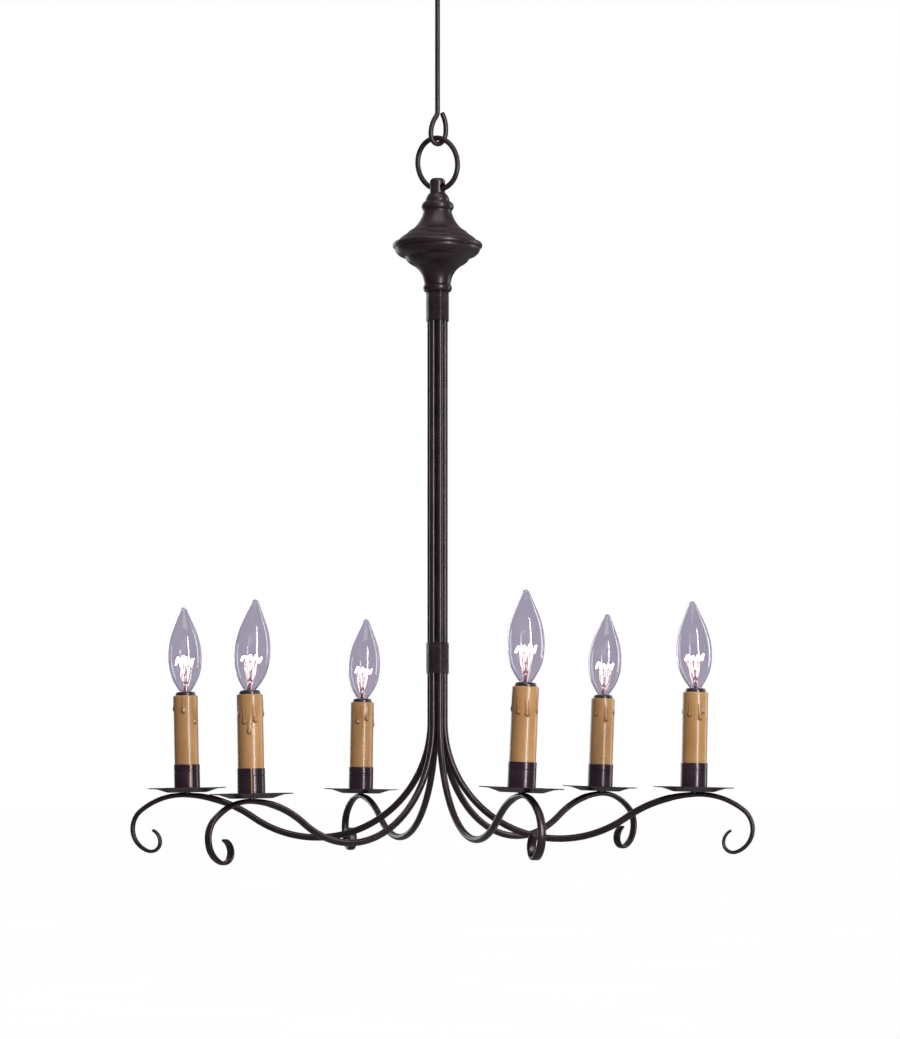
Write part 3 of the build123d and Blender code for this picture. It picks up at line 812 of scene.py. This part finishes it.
def make_pan(number, place):
    """A thin hammered pan with a flat rim, not perfectly level all round."""
    bend_z = PAN_RIM_Z - PAN_SHEET - 0.5
    outline = rounded([
        (PAN_HOLE_R, 0.0),
        (PAN_FLAT_R, 0.0),
        (PAN_BEND_R, bend_z),
        (PAN_R, PAN_RIM_Z - PAN_SHEET),
        (PAN_R, PAN_RIM_Z),
        (PAN_BEND_R, bend_z + PAN_SHEET),
        (PAN_FLAT_R, PAN_SHEET),
        (PAN_HOLE_R, PAN_SHEET),
    ], 1.1, 5)
    seed = 5.3 * number

    def hammered(radius, height, angle):
        outer = max(0.0, (radius - PAN_FLAT_R) / (PAN_R - PAN_FLAT_R))
        wave = noise.noise(Vector((1.2 * math.cos(angle), 1.2 * math.sin(angle), seed)))
        dent = noise.noise(Vector((radius / 5 * math.cos(angle), radius / 5 * math.sin(angle), seed)))
        edge = noise.noise(Vector((3 * math.cos(angle), 3 * math.sin(angle), seed + 9)))
        return radius * (1 + 0.006 * edge * outer), height + outer * (0.35 * wave + 0.10 * dent)

    points, faces = turn_outline(outline, 112, shape=hammered)
    add_piece(
        f"sheet_pan_{number}", placed(place, points), faces, pan_iron,
        "chandelier", "forged_iron", (f"candle_pan_{number}",), 50.0
    )


def make_cup(number, place):
    """A strip rolled into a cup: open seam, rubbed edges and a scribed line."""
    inside = CUP_R - CUP_WALL
    outline = np.vstack([
        rounded([(CUP_R, PAN_SHEET), (CUP_R, PAN_SHEET + 0.4)], 0.1, 1),
        [
            (CUP_R, CUP_GROOVE_Z - 0.42),
            (CUP_R - 0.28, CUP_GROOVE_Z - 0.12),
            (CUP_R - 0.28, CUP_GROOVE_Z + 0.12),
            (CUP_R, CUP_GROOVE_Z + 0.42),
            (CUP_R + 0.05, CUP_TOP - 0.9),
            (CUP_R + 0.03, CUP_TOP - 0.22),
            (CUP_R - 0.12, CUP_TOP - 0.03),
            (inside + 0.12, CUP_TOP),
            (inside, CUP_TOP - 0.15),
            (inside, PAN_SHEET + 0.8),
            (CUP_HOLE_R, PAN_SHEET + 0.8),
            (CUP_HOLE_R, PAN_SHEET),
        ],
    ])
    gap = math.degrees(CUP_SEAM / CUP_R) / 2
    seam = SEAM_AZIMUTHS[number - 1]
    seed = 2.1 * number

    def rolled(radius, height, angle):
        away = abs(((math.degrees(angle) - seam + 180) % 360) - 180)
        lifted = 0.16 * math.exp(-((away - gap) / 9.0) ** 2) * (height / CUP_TOP)
        dent = 0.05 * noise.noise(Vector((1.5 * math.cos(angle), 1.5 * math.sin(angle), height / 8 + seed)))
        return (radius + lifted + dent, height) if radius > 5 else (radius, height)

    points, faces = turn_outline(outline, 110, seam + gap, seam + 360 - gap - 0.001, rolled)
    add_piece(
        f"rolled_cup_{number}", placed(place, points), faces, cup_iron,
        "chandelier", "forged_iron", (f"candle_cup_{number}",), 40.0
    )


def wax_depth(number, angle, depth):
    """How far wax stands out at an angle and a depth below the sleeve's top, and how dark to paint it there:
    deeper amber where wax lies thick in a bead, and painted shade in a ring round each bead and along each
    run's edges.
    """
    thickness, pooled_and_shade = 0.0, 0.0
    for index, (azimuth, length) in enumerate(WAX_RUNS[number - 1]):
        away = math.radians(((math.degrees(angle) - azimuth + 180) % 360) - 180) * SLEEVE_R
        if abs(away) > 4.0 or depth > length + 4.0:
            continue
        sway = 0.35 * math.sin(depth / 4.0 + index)
        run = math.exp(-((away - sway) / 1.0) ** 2) / (1 + math.exp((depth - length) / 0.4))
        start = 1 / (1 + math.exp((length - 13.0 - depth) / 1.2))
        below = depth - length
        reach = 1.35 if below > 0 else 2.8
        spread = math.hypot((away - sway) / 1.45, below / reach)
        bead = math.exp(-spread**2)
        # Painted shade: a dark ring round the bead's rim, where the raised wax meets the sleeve.
        edge = math.exp(-((spread - 1.15) / 0.35) ** 2) * (1.0 if below > -0.8 else 0.45)
        # Painted shade: dark lines along both edges of the run, above its bead.
        side = 0.55 * start * math.exp(-((abs(away - sway) - 1.5) / 0.5) ** 2) * (1.0 if below < 0 else 0.0)
        thickness = max(thickness, 0.36 * run * start + 0.95 * bead)
        # Thick wax in the bead (deeper amber) together with the painted shade of the ring and the run's
        # edges.
        pooled_and_shade = max(pooled_and_shade, 0.25 * bead, edge, side)
    return thickness, pooled_and_shade


def make_sleeve(number, place):
    """A glossy candle cover with a rounded top and wax runs that end in beads."""
    heights = np.concatenate([
        np.linspace(SLEEVE_FOOT, SLEEVE_TOP - 38.0, 12), np.linspace(SLEEVE_TOP - 37.0, SLEEVE_TOP - 1.6, 92)
    ])
    outer = [(SLEEVE_R, height) for height in heights]
    for step in range(1, 8):
        angle = math.pi / 2 * step / 7
        outer.append((SLEEVE_R - 1.3 + 1.3 * math.cos(angle), SLEEVE_TOP - 1.3 + 1.3 * math.sin(angle)))
    outer += [(SLEEVE_MOUTH_R, SLEEVE_TOP - 0.1), (SLEEVE_MOUTH_R, SLEEVE_TOP - 3.0)]
    outer += [(SLEEVE_R - 1.2, SLEEVE_TOP - 3.2), (SLEEVE_R - 1.2, SLEEVE_FOOT)]
    sides = 132
    seed = 4.4 * number
    rings, pool_shade_values = [], []
    for side in range(sides):
        angle = 2 * math.pi * side / sides
        ring = []
        for radius, height in outer:
            pooled_and_shade = 0.0
            if radius > SLEEVE_R - 1.0:
                thickness, pooled_and_shade = wax_depth(number, angle, SLEEVE_TOP - height)
                slow = noise.noise(Vector((1.4 * math.cos(angle), 1.4 * math.sin(angle), height / 14 + seed)))
                radius += thickness + 0.07 * slow
            ring.append((radius * math.cos(angle), radius * math.sin(angle), height))
            # Thick wax and painted shade at this point, carried to the wax material.
            pool_shade_values.append(pooled_and_shade)
        rings.append(ring)
    points, faces = skin(rings, closed=True)
    add_piece(
        f"wax_sleeve_{number}", placed(place, points), faces, wax,
        "chandelier", "candle_wax_cover", (f"candle_sleeve_{number}",), 60.0, pool_shade_values
    )


def flame_outline(inset, tip_drop):
    """The flame's outline from its foot to its tip, inset all over; the tip is blunt and thick."""
    heading = math.radians(FLAME_HEADING)
    foot = (FLAME_FOOT[0] - inset * math.sin(heading), FLAME_FOOT[1] + inset * math.cos(heading))
    moves = [(radius if radius is None else radius - inset, amount) for radius, amount in FLAME_MOVES]
    track = travel(foot, FLAME_HEADING, moves, 1.3)
    x, _, angle = track[-1]
    tip = travel(track[-1, :2], math.degrees(angle), [(x / math.sin(angle), 180 - math.degrees(angle))], 0.25)
    line = np.vstack([track, tip[1:]])[:, :2]
    line[-1, 0] = 0.0
    crown = line[-1, 1]
    line[:, 1] -= tip_drop * np.clip((line[:, 1] - crown + 12.0) / 12.0, 0, 1) ** 2
    return line


def askew(points, lean):
    """Tip points of a lamp that stand above its pivot, fading in over the first millimetres."""
    points = np.array(points, float)
    share = np.clip((points[:, 2] - LAMP_PIVOT + 1.0) / 3.0, 0, 1)
    angle = math.radians(lean) * share
    x, z = points[:, 0].copy(), points[:, 2] - LAMP_PIVOT
    points[:, 0] = x * np.cos(angle) + z * np.sin(angle)
    points[:, 2] = LAMP_PIVOT + z * np.cos(angle) - x * np.sin(angle)
    return points


def make_glass(number, place, lean):
    """A blown flame envelope with a real wall, drawn to a thick pip at the tip."""
    neck = [(GLASS_NECK_R, GLASS_FOOT), (GLASS_NECK_R, 93.9), (5.6, 94.7)]
    outer = np.vstack([neck, flame_outline(0.0, 0.0)])
    inner_neck = [
        (5.2, 94.9), (GLASS_NECK_R - GLASS_SKIN, 94.1), (GLASS_NECK_R - GLASS_SKIN, GLASS_FOOT)
    ]
    inner = np.vstack([flame_outline(GLASS_SKIN, 0.5)[::-1], inner_neck])
    line = np.vstack([outer, inner])
    points, faces = turn_outline(line, 96)
    add_piece(
        f"flame_glass_{number}", placed(place, askew(points, lean)), faces, glass,
        f"bulb_{number}", "clear_glass", (f"bulb_glass_{number}",), 60.0
    )


# Inside the lamp, in its own plane: lead wires, support posts and a coiled filament.
LEAD_LINE = [(1.1, 100.0), (2.4, 103.0), (5.4, 110.0), (7.6, 116.5), (8.6, 120.0), (8.8, 123.0)]
FILAMENT_FOOT = 119.0
FILAMENT_REACH = 8.7
FILAMENT_BENDS = 8
FILAMENT_RISES = [4.6, 5.2, 5.0, 6.8, 4.4, 6.0]
FILAMENT_TURN = 0.62
COIL_R = 0.6
COIL_WIRE_R = 0.26
FILAMENT_YAWS = [12.0, -20.0, 25.0, -15.0, 8.0, -8.0]
LEAD_WIRE_R = 0.26
SUPPORT_WIRE_R = 0.12
STEM_OUTLINE = [
    (0.0, 88.6), (4.0, 88.6), (3.6, 91.1), (2.3, 93.6), (1.9, 98.6), (2.2, 101.6), (1.0, 103.9),
    (0.75, 107.1), (1.35, 109.2), (0.9, 110.6), (0.0, 110.8),
]


def smooth_line(points, step):
    """A smooth line through points in a plane, evenly stepped (Catmull-Rom)."""
    points = np.asarray(points, float)
    padded = np.vstack([2 * points[0] - points[1], points, 2 * points[-1] - points[-2]])
    line = []
    for index in range(1, len(padded) - 2):
        before, here, there, beyond = padded[index - 1:index + 3]
        count = max(2, int(np.linalg.norm(there - here) / step))
        for share in np.arange(count) / count:
            line.append(0.5 * (
                2 * here + (there - before) * share
                + (2 * before - 5 * here + 4 * there - beyond) * share**2
                + (3 * here - before - 3 * there + beyond) * share**3
            ))
    line.append(points[-1])
    return np.array(line)


def make_lamp_inside(number, place, lean, yaw):
    """Glass stem, lead-in wires, supports and a white-hot coil, turned as the lamp was screwed in."""
    turn = math.radians(yaw)
    plane = np.array([math.cos(turn), math.sin(turn), 0.0])
    across = np.array([-math.sin(turn), math.cos(turn), 0.0])
    up = np.array([0.0, 0.0, 1.0])

    def stand(flat):
        flat = np.asarray(flat, float)
        return flat[:, :1] * plane + flat[:, 1:2] * up

    def finish(parts):
        points, faces = join_meshes(parts)
        return placed(place, askew(points, lean)), faces

    body = f"bulb_{number}"
    stem = rounded(STEM_OUTLINE, 0.7, 3)
    stem[:, 0] = np.maximum(stem[:, 0], 0.0)

    def pressed(radius, height, angle):
        flat = math.exp(-((height - 100.8) / 2.2) ** 2)
        squeeze = 0.45 * math.cos(angle - turn) ** 2 - 0.35 * math.sin(angle - turn) ** 2
        return radius * (1 + flat * squeeze), height

    points, faces = turn_outline(stem, 32, shape=pressed)
    add_piece(
        f"lamp_stem_{number}", placed(place, askew(points, lean)), faces, stem_glass,
        body, "clear_glass", (), 60.0
    )
    rise = FILAMENT_RISES[number - 1]
    bends = []
    for bend in range(FILAMENT_BENDS):
        x = FILAMENT_REACH * (2 * bend / (FILAMENT_BENDS - 1) - 1)
        uneven = 1 - 0.18 * math.sin(2.3 * bend + number)
        bends.append((x, FILAMENT_FOOT + (rise * uneven if bend % 2 else 0.3 * math.sin(bend + number))))
    wires = []
    for side in (-1, 1):
        line = smooth_line([(side * x, z) for x, z in LEAD_LINE], 0.5)
        wires.append(skin(sweep(stand(line), across, LEAD_WIRE_R, 8)))
    for reach, height in bends[1:-1:2]:
        line = smooth_line([(0.12 * reach, 109.6), (0.6 * reach, 113.0), (reach, height)], 0.5)
        wires.append(skin(sweep(stand(line), across, SUPPORT_WIRE_R, 6)))
    points, faces = finish(wires)
    add_piece(f"lead_in_wires_{number}", points, faces, copper, body, "lead_in_wire", (), 60.0)

    centre = stand(smooth_line(bends, 0.06))
    tangents = np.gradient(centre, axis=0)
    tangents /= np.linalg.norm(tangents, axis=1)[:, None]
    normals = np.cross(tangents, across)
    angle = distances(centre) / FILAMENT_TURN * 2 * math.pi
    coil = centre + COIL_R * (normals * np.cos(angle)[:, None] + across * np.sin(angle)[:, None])
    along = np.gradient(coil, axis=0)
    along /= np.linalg.norm(along, axis=1)[:, None]
    outward = np.cross(along, tangents)
    rings = sweep(coil, outward, COIL_WIRE_R, 5)
    points, faces = finish([skin(rings)])
    add_piece(f"filament_{number}", points, faces, filament, body, "hot_filament", (), 80.0)


# ---------------------------------------------------------------- build

for arm in range(ARMS):
    make_arm(arm)
make_bindings()
make_shell("upper_shell", "turned_upper_shell", UPPER_SHELL, UPPER_INSIDE)
make_shell("lower_shell", "turned_lower_shell", LOWER_SHELL, LOWER_INSIDE)
make_ring()
make_rod()

for candle in range(1, ARMS + 1):
    where = candle_place(candle)
    lamp_lean = BULB_LEANS[candle - 1] - CANDLE_LEANS[candle - 1]
    make_pan(candle, where)
    make_cup(candle, where)
    make_sleeve(candle, where)
    make_glass(candle, where, lamp_lean)
    make_lamp_inside(candle, where, lamp_lean, FILAMENT_YAWS[candle - 1])

# CAD nodes that stay as they are, by the start of their names.
KEPT_LOOKS = {
    "neck_loop": turned_iron,
    "tube_hub": iron,
    "centre_stem": brass,
    "candle_studs": iron,
    "candle_nuts": brass,
    "socket_shells": brass,
    "arm_leads": jacket,
    "lamp_socket": moulding,
    "bulb_contact": nickel,
    "bulb_base": nickel,
}
for node_name, node in frame["nodes"].items():
    for start, look in KEPT_LOOKS.items():
        if node_name.startswith(start):
            node.data.materials.clear()
            node.data.materials.append(look)

# ---------------------------------------------------------------- studio

low, high = cad_box
CENTRE = (low + high) / 2
FLOOR_DROP = 0.22
FLOOR_REACH = 30.0

floor_mesh = bpy.data.meshes.new("floor")
floor_z = low.z - FLOOR_DROP
corners = [(-1, -1), (1, -1), (1, 1), (-1, 1)]
floor_mesh.from_pydata(
    [(x * FLOOR_REACH, y * FLOOR_REACH, floor_z) for x, y in corners], [], [(0, 1, 2, 3)]
)
floor_mesh.materials.append(make_floor())
floor = bpy.data.objects.new("floor", floor_mesh)
bpy.context.scene.collection.objects.link(floor)

world = bpy.data.worlds.new("studio")
world.use_nodes = True
world_tree = world.node_tree
ambient = world_tree.nodes["Background"]
ambient.inputs["Color"].default_value = (0.62, 0.560, 0.64, 1.0)
ambient.inputs["Strength"].default_value = 0.44
through_glass = world_tree.nodes.new("ShaderNodeBackground")
through_glass.inputs["Color"].default_value = (0.422, 0.397, 0.460, 1.0)
paper = world_tree.nodes.new("ShaderNodeBackground")
paper.inputs["Color"].default_value = (1.0, 1.0, 1.0, 1.0)
paper.inputs["Strength"].default_value = 1.0
seen = world_tree.nodes.new("ShaderNodeLightPath")
clear = world_tree.nodes.new("ShaderNodeMixShader")
world_tree.links.new(seen.outputs["Is Transmission Ray"], clear.inputs["Fac"])
world_tree.links.new(ambient.outputs["Background"], clear.inputs[1])
world_tree.links.new(through_glass.outputs["Background"], clear.inputs[2])
either = world_tree.nodes.new("ShaderNodeMixShader")
world_tree.links.new(seen.outputs["Is Camera Ray"], either.inputs["Fac"])
world_tree.links.new(clear.outputs["Shader"], either.inputs[1])
world_tree.links.new(paper.outputs["Background"], either.inputs[2])
world_tree.links.new(either.outputs["Shader"], world_tree.nodes["World Output"].inputs["Surface"])
bpy.context.scene.world = world


def softbox(name, azimuth, distance, rise, width, height, power):
    """A rectangular light that faces the object; azimuth 0 is on the camera's side, 90 on the right."""
    angle = math.radians(azimuth)
    light = bpy.data.lights.new(name, "AREA")
    light.shape = "RECTANGLE"
    light.size = width
    light.size_y = height
    light.energy = power
    lamp = bpy.data.objects.new(name, light)
    lamp.location = CENTRE + Vector((math.sin(angle), -math.cos(angle), 0)) * distance + Vector((0, 0, rise))
    lamp.rotation_euler = (CENTRE - lamp.location).to_track_quat("-Z", "Y").to_euler()
    bpy.context.scene.collection.objects.link(lamp)


softbox("key_strip", 29.0, 2.3, 0.2, 0.30, 2.4, 62.0)
softbox("right_back", 112.0, 2.4, 0.3, 0.6, 2.2, 16.0)
softbox("left_back", -150.0, 2.6, 0.4, 0.9, 2.2, 12.0)
softbox("top_soft", 10.0, 1.0, 2.4, 2.0, 2.0, 22.0)

# The camera stands level with the pans, a good distance off, and its lens is shifted up the column.
CAMERA_DISTANCE = 2.925
FOCAL_LENGTH = 110.2
SENSOR_WIDTH = 36.0
LENS_SHIFT = (0.0120, 0.2525)
camera_data = bpy.data.cameras.new("camera")
camera_data.sensor_fit = "AUTO"
camera_data.sensor_width = SENSOR_WIDTH
camera_data.lens = FOCAL_LENGTH
camera_data.shift_x, camera_data.shift_y = LENS_SHIFT
camera = bpy.data.objects.new("camera", camera_data)
camera.location = (0.0, -CAMERA_DISTANCE, -HANG_HEIGHT * MM)
camera.rotation_euler = (math.radians(90), 0, 0)
bpy.context.scene.collection.objects.link(camera)
bpy.context.scene.camera = camera
bpy.context.scene.view_settings.view_transform = "Standard"
